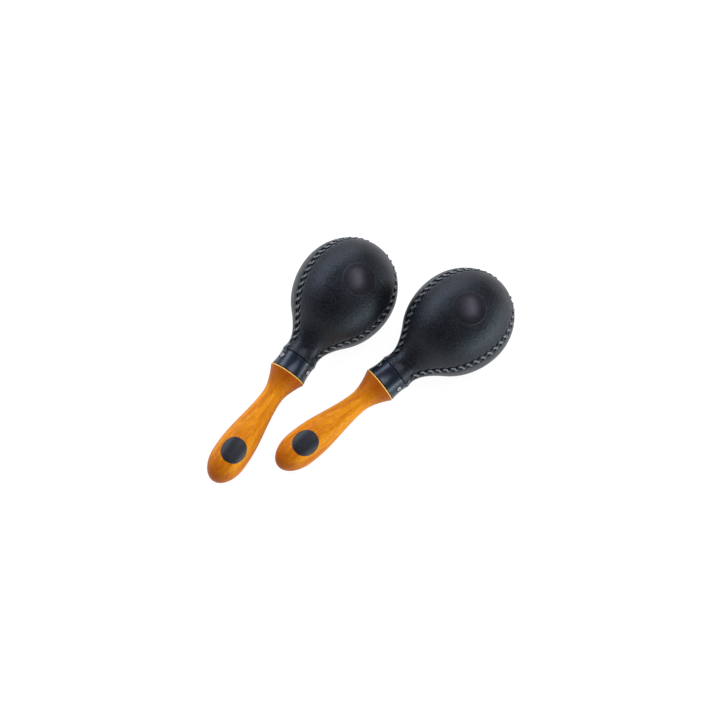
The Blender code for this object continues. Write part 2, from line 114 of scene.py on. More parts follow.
def repeats(size: float) -> float:
    """Texture scale, in coordinates of a metre, for a feature of this many millimetres."""
    return 1.0 / (size * MM)


def ease(low: float, high: float, value: float) -> float:
    """Smooth step from 0 at the low value to 1 at the high one."""
    share = min(max((value - low) / (high - low), 0.0), 1.0)
    return share * share * (3.0 - 2.0 * share)


def spread(low: float, high: float, steps: int) -> list[float]:
    """Values in even steps from the low one to the high one, both included."""
    return [low + (high - low) * step / steps for step in range(steps + 1)]


def add_node(
    tree: bpy.types.NodeTree,
    kind: str,
    inputs: dict[str | int, object] | None = None,
    **settings: object,
) -> bpy.types.Node:
    """Add a shader node with its settings and links.

    Args:
        tree: Node tree that gets the node.
        kind: Blender's name for the node.
        inputs: For each input, by name or place, its value or the socket that is linked to it.
        **settings: The node's own properties.

    Returns:
        The new node.
    """
    made = tree.nodes.new(kind)
    for name, value in settings.items():
        setattr(made, name, value)
    for key, value in (inputs or {}).items():
        if isinstance(value, bpy.types.NodeSocket):
            tree.links.new(value, made.inputs[key])
        else:
            made.inputs[key].default_value = value
    return made


# Finishes


@dataclass(frozen=True)
class Feature:
    """Soft noise in a piece's own frame, with its size in millimetres across and along the axis."""

    across: float
    detail: float
    along: float | None = None

    def strength(self, tree: bpy.types.NodeTree) -> Socket:
        """Add the noise.

        Args:
            tree: Node tree of the material.

        Returns:
            How strong the feature is, which lies about 0.5.
        """
        spot = add_node(tree, "ShaderNodeAttribute", attribute_name=OWN_FRAME).outputs["Vector"]
        scale = (repeats(self.across), repeats(self.across), repeats(self.along or self.across))
        place = add_node(tree, "ShaderNodeMapping", {"Vector": spot, "Scale": scale}).outputs[0]
        inputs = {"Vector": place, "Scale": 1.0, "Detail": self.detail}
        return add_node(tree, "ShaderNodeTexNoise", inputs).outputs["Fac"]


@dataclass(frozen=True)
class Tone:
    """A colour laid over those before it, where a feature is strong or along a stretch of the axis.

    Its span is where it fades in: in the feature's strength or, with none, in millimetres from the butt.
    Its share is how much of it shows in the end.
    """

    colour: str
    where: Feature | None
    span: Span
    share: float = 1.0
    fade: Fade = Fade.SOFT

    def lay(self, tree: bpy.types.NodeTree, below: Socket | Colour) -> Socket:
        """Lay the colour over what is below.

        Args:
            tree: Node tree of the material.
            below: The colour so far.

        Returns:
            The new colour.
        """
        low, high = self.span
        if self.where:
            value = self.where.strength(tree)
        else:
            low, high = low * MM, high * MM
            spot = add_node(tree, "ShaderNodeAttribute", attribute_name=OWN_FRAME).outputs["Vector"]
            value = add_node(tree, "ShaderNodeSeparateXYZ", {0: spot}).outputs["Z"]
        spans = {"Value": value, "From Min": low, "From Max": high, "To Min": 0.0, "To Max": self.share}
        share = add_node(tree, "ShaderNodeMapRange", spans, interpolation_type=self.fade.value)
        layers = {0: share.outputs[0], 6: below, 7: linear(self.colour)}
        return add_node(tree, "ShaderNodeMix", layers, data_type="RGBA").outputs[2]


@dataclass(frozen=True)
class Gloss:
    """Roughness that changes from one value to another over a span of a feature's strength."""

    where: Feature
    span: Span
    roughness: Span

    def vary(self, tree: bpy.types.NodeTree) -> Socket:
        """Add the changing roughness.

        Args:
            tree: Node tree of the material.

        Returns:
            The roughness.
        """
        names = ("From Min", "From Max", "To Min", "To Max")
        spans = dict(zip(names, (*self.span, *self.roughness)), Value=self.where.strength(tree))
        return add_node(tree, "ShaderNodeMapRange", spans, interpolation_type=Fade.SOFT.value).outputs[0]


@dataclass(frozen=True)
class Relief:
    """Surface that a feature raises by a share of a depth, with hollows between rounded pebbles."""

    where: Feature
    share: float
    depth: float
    pebble: float | None = None

    def emboss(self, tree: bpy.types.NodeTree) -> Socket:
        """Add the relief.

        Args:
            tree: Node tree of the material.

        Returns:
            The normal of the raised surface.
        """
        height = self.where.strength(tree)
        if self.pebble:
            spot = add_node(tree, "ShaderNodeAttribute", attribute_name=OWN_FRAME).outputs["Vector"]
            size = {"Vector": spot, "Scale": repeats(self.pebble)}
            cells = add_node(tree, "ShaderNodeTexVoronoi", size, feature="SMOOTH_F1")
            heights = {0: height, 1: cells.outputs["Distance"]}
            height = add_node(tree, "ShaderNodeMath", heights, operation="SUBTRACT").outputs[0]
        inputs = {"Height": height, "Strength": self.share, "Distance": self.depth * MM}
        return add_node(tree, "ShaderNodeBump", inputs).outputs[0]


@dataclass(frozen=True)
class Finish:
    """A finish: what is the same all over its surface, and in subclasses what changes over it."""

    name: str
    colour: str
    roughness: float
    metallic: float = 0.0
    ior: float = 1.5
    coat: float = 0.0
    coat_roughness: float = 0.1
    gleam: str = "#ffffff"

    def tones(self) -> list[Tone]:
        """Colours over the first one, in the order in which they are laid."""
        raise NotImplementedError

    def gloss(self) -> Gloss | None:
        """How the roughness changes over the surface, if it does."""
        return None

    def relief(self) -> Relief | None:
        """How the surface is raised, if it isn't smooth."""
        return None

    def material(self) -> bpy.types.Material:
        """Make the material.

        Returns:
            A material with its principled shader set and its tones, gloss and relief linked.
        """
        made = bpy.data.materials.new(self.name)
        made.use_nodes = True
        tree = made.node_tree
        shader = tree.nodes["Principled BSDF"]
        values = {
            "Base Color": linear(self.colour),
            "Roughness": self.roughness,
            "Metallic": self.metallic,
            "IOR": self.ior,
            "Coat Weight": self.coat,
            "Coat Roughness": self.coat_roughness,
            "Specular Tint": linear(self.gleam),
        }
        for name, value in values.items():
            shader.inputs[name].default_value = value
        colour = linear(self.colour)
        for tone in self.tones():
            colour = tone.lay(tree, colour)
        tree.links.new(colour, shader.inputs["Base Color"])
        if gloss := self.gloss():
            tree.links.new(gloss.vary(tree), shader.inputs["Roughness"])
        if relief := self.relief():
            tree.links.new(relief.emboss(tree), shader.inputs["Normal"])
        return made


@dataclass(frozen=True)
class LacqueredBeech(Finish):
    """Beech turned on a lathe, stained honey, darkened at both ends and sprayed with clear lacquer.

    The eye gets pale and dark streaks along the grain, uneven stain and a soft gloss over both.
    """

    name: str = "lacquered_turned_beech"
    colour: str = "#e58d06"
    deep: str = "#cd6e04"
    pale: str = "#eea72e"
    end: str = "#a34608"
    bare: str = "#fbc968"
    pore: str = "#9a4a0e"
    roughness: float = 0.52
    coat: float = 0.05
    coat_roughness: float = 0.25
    # Most of the gleam comes from the fibres under the lacquer, so it has the colour of the wood.
    gleam: str = "#ffb765"
    figure: Feature = Feature(4.5, 3.0, along=55.0)
    streak: Feature = Feature(1.3, 3.0, along=24.0)
    # Real pores are 0.3 mm across; they are drawn as coarse as they need to be to show in the render.
    pores: Feature = Feature(0.8, 2.0, along=7.0)
    # Darker towards the butt and towards the rim, laid by level along the axis.
    butt_darkening: Span = (20.0, 2.0)
    rim_darkening: Span = (84.0, 104.0)
    end_darkening_share: float = 0.8
    rim_bevel: Span = (106.9, 107.2)

    def tones(self) -> list[Tone]:
        """Stain along the grain, darker ends, pores and the bare line where the rim's bevel is rubbed."""
        return [
            Tone(self.deep, self.figure, (0.36, 0.66)),
            Tone(self.pale, self.streak, (0.52, 0.72), 0.7),
            Tone(self.end, None, self.butt_darkening, self.end_darkening_share),
            Tone(self.end, None, self.rim_darkening, self.end_darkening_share),
            Tone(self.pore, self.pores, (0.55, 0.72), 0.6),
            Tone(self.bare, None, self.rim_bevel),
        ]

    def relief(self) -> Relief:
        """Streaks of harder wood that stand a little proud."""
        return Relief(self.streak, share=0.1, depth=0.1)


@dataclass(frozen=True)
class FormedLeather(Finish):
    """Cowhide dyed black right through, formed wet and dried hard, with its grain side out.

    The eye gets a dull charcoal with an even fine grain and broad, soft, bluish highlights.
    """

    name: str = "formed_black_cowhide"
    colour: str = "#050506"
    crest: str = "#1f2125"
    roughness: float = 0.42
    ior: float = 1.4
    gleam: str = "#e6f0ff"
    # Real grain is about 0.6 mm; it is drawn coarser so that the render shows it.
    grain: Feature = Feature(1.1, 2.0)
    pebble: float = 1.43
    mottle: Feature = Feature(14.0, 3.0)
    depth: float = 0.2

    def tones(self) -> list[Tone]:
        """Paler crests of the grain."""
        return [Tone(self.crest, self.grain, (0.36, 0.64))]

    def gloss(self) -> Gloss:
        """A gloss that changes slowly over the hide."""
        return Gloss(self.mottle, (0.3, 0.7), (self.roughness - 0.05, self.roughness + 0.05))

    def relief(self) -> Relief:
        """Grain in relief."""
        return Relief(self.grain, 0.7, self.depth, self.pebble)


@dataclass(frozen=True)
class PressedLeather(FormedLeather):
    """The same cowhide pressed smooth with a hot plate, which leaves a closer, glossier grain."""

    name: str = "hot_pressed_black_cowhide"
    colour: str = "#101015"
    crest: str = "#1a191f"
    roughness: float = 0.36
    gleam: str = "#f6f4ff"
    depth: float = 0.04


@dataclass(frozen=True)
class WaxedLace(FormedLeather):
    """Cowhide cut into lace and waxed: smoother, greyer and a little shinier than the panels."""

    name: str = "waxed_cowhide_lace"
    colour: str = "#31373e"
    crest: str = "#566069"
    roughness: float = 0.3
    coat: float = 0.6
    coat_roughness: float = 0.22
    grain: Feature = Feature(0.8, 2.0)
    pebble: float = 1.04
    mottle: Feature = Feature(5.0, 3.0)
    depth: float = 0.06


@dataclass(frozen=True)
class MouldedCollar(Finish):
    """ABS moulded blue-black in a polished mould, so it mirrors the studio in faintly wavy stripes."""

    name: str = "moulded_gloss_abs"
    colour: str = "#11161f"
    scuffed: str = "#1a202a"
    roughness: float = 0.28
    ior: float = 1.54
    gleam: str = "#dfeaff"
    wave: Feature = Feature(9.0, 1.0)
    # Real handling marks are hair-fine; they are drawn 1.2 mm apart so that the render shows them.
    scuff: Feature = Feature(1.2, 6.0)

    def tones(self) -> list[Tone]:
        """Fine handling marks, which are paler."""
        return [Tone(self.scuffed, self.scuff, (0.5, 0.75))]

    def gloss(self) -> Gloss:
        """The handling marks are duller too."""
        return Gloss(self.scuff, (0.3, 0.75), (self.roughness, self.roughness + 0.1))

    def relief(self) -> Relief:
        """Faint waves of the moulding."""
        return Relief(self.wave, share=0.08, depth=0.5)


@dataclass(frozen=True)
class NickelledSteel(Finish):
    """Steel screws, cold headed, tumbled and nickel plated: bright, with a faint orange-peel."""

    name: str = "tumbled_nickelled_steel"
    colour: str = "#a3a5aa"
    worn: str = "#6f7178"
    roughness: float = 0.2
    metallic: float = 1.0
    peel: Feature = Feature(0.9, 3.0)

    def tones(self) -> list[Tone]:
        """Tumbling marks, which are darker."""
        return [Tone(self.worn, self.peel, (0.0, 1.0), fade=Fade.EVEN)]

    def gloss(self) -> Gloss:
        """The tumbling marks are duller too."""
        return Gloss(self.peel, (0.0, 1.0), (self.roughness - 0.08, self.roughness + 0.12))

    def relief(self) -> Relief:
        """Orange-peel of the plating."""
        return Relief(self.peel, share=0.2, depth=0.08)


@dataclass(frozen=True)
class PrintedEnamel(Finish):
    """Black enamel, pad printed on the lacquer: navy black, softly glossy, with the pad's faint grain."""

    name: str = "pad_printed_black_enamel"
    colour: str = "#14161e"
    thin: str = "#1f222c"
    roughness: float = 0.48
    grain: Feature = Feature(1.4, 4.0)

    def tones(self) -> list[Tone]:
        """Slightly thinner specks in the ink."""
        return [Tone(self.thin, self.grain, (0.45, 0.75))]

    def gloss(self) -> Gloss:
        """The thinner specks are duller too."""
        return Gloss(self.grain, (0.0, 1.0), (self.roughness - 0.1, self.roughness + 0.1))


@dataclass(frozen=True)
class DriedSeed(Finish):
    """Seeds dried in the pod: a smooth brown coat with darker blotches and fine wrinkles."""

    name: str = "sun_dried_seed"
    colour: str = "#8a5a2c"
    dark: str = "#4f2d14"
    roughness: float = 0.48
    blotch: Feature = Feature(2.2, 5.0)

    def tones(self) -> list[Tone]:
        """Blotches of the seed coat."""
        return [Tone(self.dark, self.blotch, (0.0, 1.0), fade=Fade.EVEN)]

    def relief(self) -> Relief:
        """Wrinkles of the seed coat."""
        return Relief(self.blotch, share=0.4, depth=0.15)


@cache
def material_of(finish: Finish) -> bpy.types.Material:
    """The one material of a finish, made when it is first needed."""
    return finish.material()


# Shaping


def hermite(start: Span, end: Span, end_slope: float, steps: int) -> Outline:
    """Smooth run that leaves its first point along the axis.

    Args:
        start: First radius and level.
        end: Last radius and level.
        end_slope: Change of radius with level at the end.
        steps: How many points the run gets.

    Returns:
        The points after the first.
    """
    span = end[1] - start[1]
    points = []
    for share in spread(0.0, 1.0, steps)[1:]:
        blend = ease(0.0, 1.0, share)
        radius = start[0] + (end[0] - start[0]) * blend + span * end_slope * (share**3 - share**2)
        points.append((radius, start[1] + share * span))
    return points


def polar(radius: float, angle: float, level: float) -> Vector:
    """Point in metres from a radius, an angle and a level in millimetres."""
    return Vector((radius * math.cos(angle), radius * math.sin(angle), level)) * MM


class Meridian:
    """A turned outline, measured in millimetres along its length."""

    def __init__(self, points: Outline) -> None:
        """Measure the outline and work out its normals.

        Args:
            points: Radius and level of each point, from the bottom up.
        """
        self.points = points
        self.lengths = [0.0]
        runs = []
        for (r0, z0), (r1, z1) in pairwise(points):
            span = math.hypot(r1 - r0, z1 - z0)
            self.lengths.append(self.lengths[-1] + span)
            runs.append(Vector(((z1 - z0) / span, (r0 - r1) / span)))
        neighbours = zip([runs[0], *runs], [*runs, runs[-1]])
        self.normals = [(before + after).normalized() for before, after in neighbours]
        self.length = self.lengths[-1]

    def at(self, distance: float) -> tuple[float, float, float, float]:
        """Find a point of the outline.

        Args:
            distance: How far along the outline it lies.

        Returns:
            Its radius and level, and the outward normal's two parts.
        """
        index = min(max(bisect_right(self.lengths, distance) - 1, 0), len(self.points) - 2)
        share = (distance - self.lengths[index]) / (self.lengths[index + 1] - self.lengths[index])
        (r0, z0), (r1, z1) = self.points[index], self.points[index + 1]
        normal = self.normals[index].lerp(self.normals[index + 1], share).normalized()
        return r0 + share * (r1 - r0), z0 + share * (z1 - z0), normal.x, normal.y

    def distance_to(self, level: float) -> float:
        """How far along the outline its first point at or above a level lies."""
        return next(length for length, (_, z) in zip(self.lengths, self.points) if z >= level)

    def place(self, distance: float, angle: float, height: float) -> Vector:
        """Place a point over the turned surface.

        Args:
            distance: How far along the outline.
            angle: Turn about the axis, in radians.
            height: How far off the surface, in millimetres.

        Returns:
            The point, in metres.
        """
        radius, level, nr, nz = self.at(distance)
        return polar(radius + height * nr, angle, level + height * nz)


def to_mesh(shape: bmesh.types.BMesh, name: str) -> bpy.types.Mesh:
    """Turn a shape into a smooth mesh with its sharp edges kept.

    Args:
        shape: The shape, which is freed.
        name: Name of the mesh.

    Returns:
        The mesh.
    """
    bmesh.ops.recalc_face_normals(shape, faces=shape.faces)
    mesh = bpy.data.meshes.new(name)
    shape.to_mesh(mesh)
    shape.free()
    mesh.shade_smooth()
    mesh.set_sharp_from_angle(angle=SHARP_EDGE)
    return mesh


def add_strip(shape: bmesh.types.BMesh, rows: Sequence[Sequence[Vert]], closed: bool) -> None:
    """Join rows of points by faces.

    Args:
        shape: Shape that holds the points.
        rows: Rows of equal length, except that a row of one point is a pole.
        closed: Whether each row runs on from its last point to its first.
    """
    for lower, upper in pairwise(rows):
        columns = max(len(lower), len(upper))
        for column in range(columns if closed else columns - 1):
            after = (column + 1) % columns
            corners = [lower[column % len(lower)], lower[after % len(lower)]]
            corners += [upper[after % len(upper)], upper[column % len(upper)]]
            shape.faces.new(list(dict.fromkeys(corners)))


def turned(outline: Outline, steps: int) -> bmesh.types.BMesh:
    """Turn an outline about the axis.

    Args:
        outline: Radius and level of each point; it ends on the axis or where it began.
        steps: How many facets go round.

    Returns:
        The closed shape, in metres.
    """
    shape = bmesh.new()
    rings: dict[Span, list[Vert]] = {}
    for radius, level in outline:
        if (radius, level) not in rings:
            angles = spread(0.0, FULL_TURN, steps)[:-1] if radius else [0.0]
            rings[radius, level] = [shape.verts.new(polar(radius, angle, level)) for angle in angles]
    add_strip(shape, [rings[point] for point in outline], closed=True)
    return shape


def carved(mesh: bpy.types.Mesh, tool: bmesh.types.BMesh) -> bpy.types.Mesh:
    """Cut closed shapes out of a mesh.

    Args:
        mesh: The mesh to cut, which is removed.
        tool: The shapes, which are freed.

    Returns:
        The cut mesh.
    """
    objects = [bpy.data.objects.new(data.name, data) for data in (mesh, to_mesh(tool, "cutter"))]
    for made in objects:
        bpy.context.scene.collection.objects.link(made)
    boolean = objects[0].modifiers.new("cut", "BOOLEAN")
    boolean.operation = "DIFFERENCE"
    boolean.solver = "EXACT"
    boolean.object = objects[1]
    graph = bpy.context.evaluated_depsgraph_get()
    result = bpy.data.meshes.new_from_object(objects[0].evaluated_get(graph))
    for made in objects:
        bpy.data.meshes.remove(made.data)
    result.shade_smooth()
    result.set_sharp_from_angle(angle=SHARP_EDGE)
    return result


def add_rod(shape: bmesh.types.BMesh, radius: float, length: float, matrix: Matrix, steps: int) -> None:
    """Add a closed rod along its own Z to a shape.

    Args:
        shape: Shape that gets the rod.
        radius: Its radius in millimetres.
        length: Its length in millimetres.
        matrix: Its place, in metres.
        steps: How many facets go round.
    """
    ends = {"radius1": radius * MM, "radius2": radius * MM, "depth": length * MM, "cap_ends": True}
    bmesh.ops.create_cone(shape, segments=steps, matrix=matrix, **ends)


def border(sheet: Sequence[Sequence[Vert]]) -> list[Vert]:
    """Points all round a sheet: up its first column, along its last row, down and back."""
    up, down = [row[0] for row in sheet], [row[-1] for row in reversed(sheet[:-1])]
    return [*up, *sheet[-1][1:], *down, *sheet[0][-2:0:-1]]


def patch(
    meridian: Meridian,
    middle: float,
    angle: float,
    radius: float,
    height: Callable[[float], float],
    rings: int,
) -> bmesh.types.BMesh:
    """Round patch that follows a turned surface and is closed by a cone that points into it.

    Args:
        meridian: Outline of the surface.
        middle: How far along the outline the patch's middle lies.
        angle: Turn of the middle about the axis.
        radius: The patch's radius in millimetres.
        height: Height off the surface for a share of the radius.
        rings: How many rings of points it has.

    Returns:
        The closed shape, in metres.
    """
    shape = bmesh.new()
    rows = []
    for inward in reversed(spread(0.0, 1.0, rings)):
        share = 1.0 - inward**2
        row = []
        for lean in spread(0.0, FULL_TURN, PATCH_STEPS)[:-1] if share else [0.0]:
            distance = middle + share * radius * math.sin(lean)
            across = share * radius * math.cos(lean) / meridian.at(distance)[0]
            row.append(shape.verts.new(meridian.place(distance, angle + across, height(share))))
        rows.append(row)
    under = shape.verts.new(meridian.place(middle, angle, -PATCH_DEPTH))
    add_strip(shape, [*rows, [under]], closed=True)
    return shape


# Pieces


@dataclass(frozen=True)
class Lie:
    """How one maraca lies: its side, the place of its butt in millimetres and its turns in degrees."""

    side: Side
    butt: tuple[float, float, float]
    heading: float
    roll: float
    disc_turn: float
    roundel_turn: float
    rise: float = 9.3305

    def matrix(self) -> Matrix:
        """Place of the maraca's own frame.

        Returns:
            The frame in metres: front, across and along as its X, Y and Z.
        """
        bearing, roll, rise = (math.radians(angle) for angle in (self.heading, self.roll, self.rise))
        level = Vector((math.sin(bearing), math.cos(bearing), 0.0))
        along = level * math.cos(rise) + Vector((0.0, 0.0, math.sin(rise)))
        upward = (Vector((0.0, 0.0, 1.0)) - along * along.z).normalized()
        front = upward * math.cos(roll) + upward.cross(along) * math.sin(roll)
        turn = Matrix((front, along.cross(front), along)).transposed().to_4x4()
        return Matrix.Translation(Vector(self.butt) * MM) @ turn


def laid_piece(name: str, mesh: bpy.types.Mesh, matrix: Matrix, finish: Finish) -> bpy.types.Object:
    """Lay a mesh down as a finished piece that remembers its own frame, which its finish follows.

    Args:
        name: The piece's name.
        mesh: Its mesh in its own frame.
        matrix: The place of that frame.
        finish: Its finish.

    Returns:
        The piece, with its place in its mesh as the CAD nodes have it.
    """
    own = mesh.attributes.new(OWN_FRAME, "FLOAT_VECTOR", "POINT")
    own.data.foreach_set("vector", [part for vertex in mesh.vertices for part in vertex.co])
    mesh.transform(matrix)
    mesh.materials.clear()
    mesh.materials.append(material_of(finish))
    piece = bpy.data.objects.new(name, mesh)
    bpy.context.scene.collection.objects.link(piece)
    LOG.info("%s: %d faces, %s", name, len(mesh.polygons), finish.name)
    return piece


@dataclass
class Stand:
    """Where a maraca's pieces go: its frame and the CAD body that carries them."""

    lie: Lie

    @property
    def prefix(self) -> str:
        """What the names of the maraca's pieces begin with."""
        return self.lie.side.value

    def add(
        self,
        name: str,
        mesh: bpy.types.Mesh,
        finish: Finish,
        slot: Slot,
        *,
        turn: Matrix | None = None,
        stands_for: bool = True,
    ) -> None:
        """Add a finished piece that rides on the maraca's body.

        Args:
            name: The piece's name after its side, which is also that of the CAD node it stands for.
            mesh: Its mesh, in the maraca's own frame.
            finish: Its finish.
            slot: The record's slot for that finish, which is not used.
            turn: Its place in the maraca's frame.
            stands_for: Whether it stands for a CAD node.
        """
        node = f"{self.prefix}_{name}"
        data = mesh.copy()
        data.transform(turn or Matrix.Identity(4))
        piece = laid_piece(f"dressed_{node}", data, self.lie.matrix(), finish)
        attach(piece, f"{self.prefix}_maraca")
        if stands_for:
            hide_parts(node)


@dataclass
class Handle:
    """Turned handle with a round butt, swelling grip, slim waist, flared rim, spigot and printed disc."""

    length: float = 108.0
    butt_length: float = 24.0
    grip_radius: float = 15.2
    grip_straight: float = 5.0
    waist_radius: float = 8.7
    waist_drop: float = 22.0
    flare_power: float = 1.55
    rim_radius: float = 16.1
    rim_bevel: float = 0.8
    rim_rounding: float = 0.24
    spigot_radius: float = 10.4
    spigot_length: float = 15.9
    spigot_bevel: float = 1.0
    disc_radius: float = 11.3
    disc_level: float = 28.4
    disc_film: float = 0.08
    disc_sink: float = 0.02
    disc_edge: float = 0.97
    disc_rings: int = 24
    butt_steps: int = 32
    grip_steps: int = 32
    flare_steps: int = 24
    turn_steps: int = 96

    def outline(self) -> Outline:
        """Outer outline of the wood.

        Returns:
            Points from the middle of the butt to the edge of the rim.
        """
        points = []
        for angle in spread(0.0, QUARTER_TURN, self.butt_steps):
            points.append((self.grip_radius * math.sin(angle), self.butt_length * (1 - math.cos(angle))))
        grip_top = (self.grip_radius, self.butt_length + self.grip_straight)
        waist = (self.waist_radius, self.length - self.waist_drop)
        points.append(grip_top)
        points += hermite(grip_top, waist, 0.0, self.grip_steps)
        flare = self.waist_drop - self.rim_bevel
        for share in spread(0.0, 1.0, self.flare_steps)[1:]:
            radius = self.waist_radius + (self.rim_radius - self.waist_radius) * share**self.flare_power
            points.append((radius, waist[1] + share * flare))
        return points

    def wood(self) -> bpy.types.Mesh:
        """Turned wood with its bevelled rim and spigot.

        Returns:
            The wood's mesh.
        """
        top = self.length + self.spigot_length
        outline = self.outline()
        outline += [
            (self.rim_radius - self.rim_rounding, self.length - self.rim_rounding),
            (self.rim_radius - self.rim_bevel, self.length),
            (self.spigot_radius, self.length),
            (self.spigot_radius, top - self.spigot_bevel),
            (self.spigot_radius - self.spigot_bevel, top),
            (0.0, top),
        ]
        return to_mesh(turned(outline, self.turn_steps), "handle")

    def disc(self, turn: float) -> bpy.types.Mesh:
        """Printed disc on the grip.

        Args:
            turn: Where its middle is round the handle, in degrees off the front.

        Returns:
            A film of enamel that follows the wood.
        """
        meridian = Meridian(self.outline())

        def film(share: float) -> float:
            """Height of the ink, which sinks into the lacquer at its edge."""
            edge = ease(self.disc_edge, 1.0, share)
            return self.disc_film * (1.0 - edge) - self.disc_sink * edge

        middle = meridian.distance_to(self.disc_level)
        shape = patch(meridian, middle, math.radians(turn), self.disc_radius, film, self.disc_rings)
        return to_mesh(shape, "grip_disc")

    def dress(self, stand: Stand) -> None:
        """Add the handle and its disc to a maraca.

        Args:
            stand: Where the maraca's pieces go.
        """
        stand.add("handle", self.wood(), LacqueredBeech(), Slot.WOOD)
        disc = self.disc(stand.lie.disc_turn)
        stand.add("grip_disc", disc, PrintedEnamel(), Slot.COLLAR, stands_for=False)


def seam_turn(number: int) -> Matrix:
    """Turn about the axis to a seam, which has its lace and at its end a screw."""
    return Matrix.Rotation((number + 0.5) * PANEL_ANGLE, 4, "Z")


@dataclass
class Collar:
    """Black band round the neck, hollow and flared at its foot, with pan-head screws sunk in it."""

    bottom: float = 108.3
    width: float = 15.0
    bore: float = 13.3
    radius: float = 15.3
    flare: float = 0.6
    hollow: float = 0.6
    edge: float = 0.5
    screw_drop: float = 6.0
    seat: float = 13.85
    seat_radius: float = 3.1
    lift: float = 0.3
    head_radius: float = 2.3
    head_height: float = 1.3
    head_rim: float = 0.6
    head_bevel: float = 0.1
    dome_power: float = 0.7
    shank_radius: float = 1.3
    shank_length: float = 8.0
    cross_length: float = 2.7
    cross_width: float = 0.65
    cross_depth: float = 0.8
    first_turn: float = 0.6
    turn_between: float = 0.9
    edge_steps: int = 6
    side_steps: int = 24
    dome_steps: int = 8
    band_turn_steps: int = 144
    screw_turn_steps: int = 32

    def screw_place(self, number: int, reach: float) -> Matrix:
        """Place of a screw's axis at a distance from the maraca's axis, its own Z outwards."""
        spot = Vector((reach, 0.0, self.bottom + self.width - self.screw_drop)) * MM
        return seam_turn(number) @ Matrix.Translation(spot) @ Matrix.Rotation(QUARTER_TURN, 4, "Y")

    def band(self) -> bpy.types.Mesh:
        """Turned band with its counterbores.

        Returns:
            The band's mesh.
        """
        outline = [(self.bore, self.bottom)]
        foot = self.radius + self.flare
        corner = spread(0.0, QUARTER_TURN, self.edge_steps)
        for angle in corner:
            lower = foot - self.edge + self.edge * math.sin(angle)
            outline.append((lower, self.bottom + self.edge * (1 - math.cos(angle))))
        inside = self.width - 2 * self.edge
        for share in spread(0.0, 1.0, self.side_steps)[1:-1]:
            side = foot - self.flare * share - 4 * self.hollow * share * (1 - share)
            outline.append((side, self.bottom + self.edge + share * inside))
        for angle in corner:
            upper = self.radius - self.edge + self.edge * math.cos(angle)
            outline.append((upper, self.bottom + self.width - self.edge * (1 - math.sin(angle))))
        outline += [(self.bore, self.bottom + self.width), outline[0]]
        tool = bmesh.new()
        depth = 2 * (self.radius - self.seat)
        for number in range(PANELS):
            place = self.screw_place(number, self.radius)
            add_rod(tool, self.seat_radius, depth, place, self.screw_turn_steps)
        return carved(to_mesh(turned(outline, self.band_turn_steps), "collar"), tool)

    def screw(self) -> bpy.types.Mesh:
        """Pan-head screw along +Z with a cross recess.

        Returns:
            The screw's mesh, its head's underside at the origin.
        """
        outline = [(0.0, self.head_height)]
        for angle in spread(0.0, QUARTER_TURN, self.dome_steps)[1:]:
            dome = self.head_rim + (self.head_height - self.head_rim) * math.cos(angle) ** self.dome_power
            outline.append((self.head_radius * math.sin(angle), dome))
        outline += [
            (self.head_radius, self.head_bevel),
            (self.head_radius - self.head_bevel, 0.0),
            (self.shank_radius, 0.0),
            (self.shank_radius, self.shank_radius - self.shank_length),
            (0.0, -self.shank_length),
        ]
        tool = bmesh.new()
        for arm in ((self.cross_length, self.cross_width), (self.cross_width, self.cross_length)):
            size = Matrix.Diagonal((*(side * MM for side in arm), 2 * self.cross_depth * MM, 1.0))
            place = Matrix.Translation((0.0, 0.0, self.head_height * MM))
            bmesh.ops.create_cube(tool, size=1.0, matrix=place @ size)
        return carved(to_mesh(turned(outline, self.screw_turn_steps), "screw"), tool)

    def dress(self, stand: Stand) -> None:
        """Add the band and its screws, whose crosses are turned unlike, to a maraca.

        Args:
            stand: Where the maraca's pieces go.
        """
        stand.add("collar", self.band(), MouldedCollar(), Slot.COLLAR)
        screw = self.screw()
        for number in range(PANELS):
            place = self.screw_place(number, self.seat + self.lift)
            turn = place @ Matrix.Rotation(self.first_turn + self.turn_between * number, 4, "Z")
            stand.add(f"collar_screw_{number + 1}", screw, NickelledSteel(), Slot.STEEL, turn=turn)


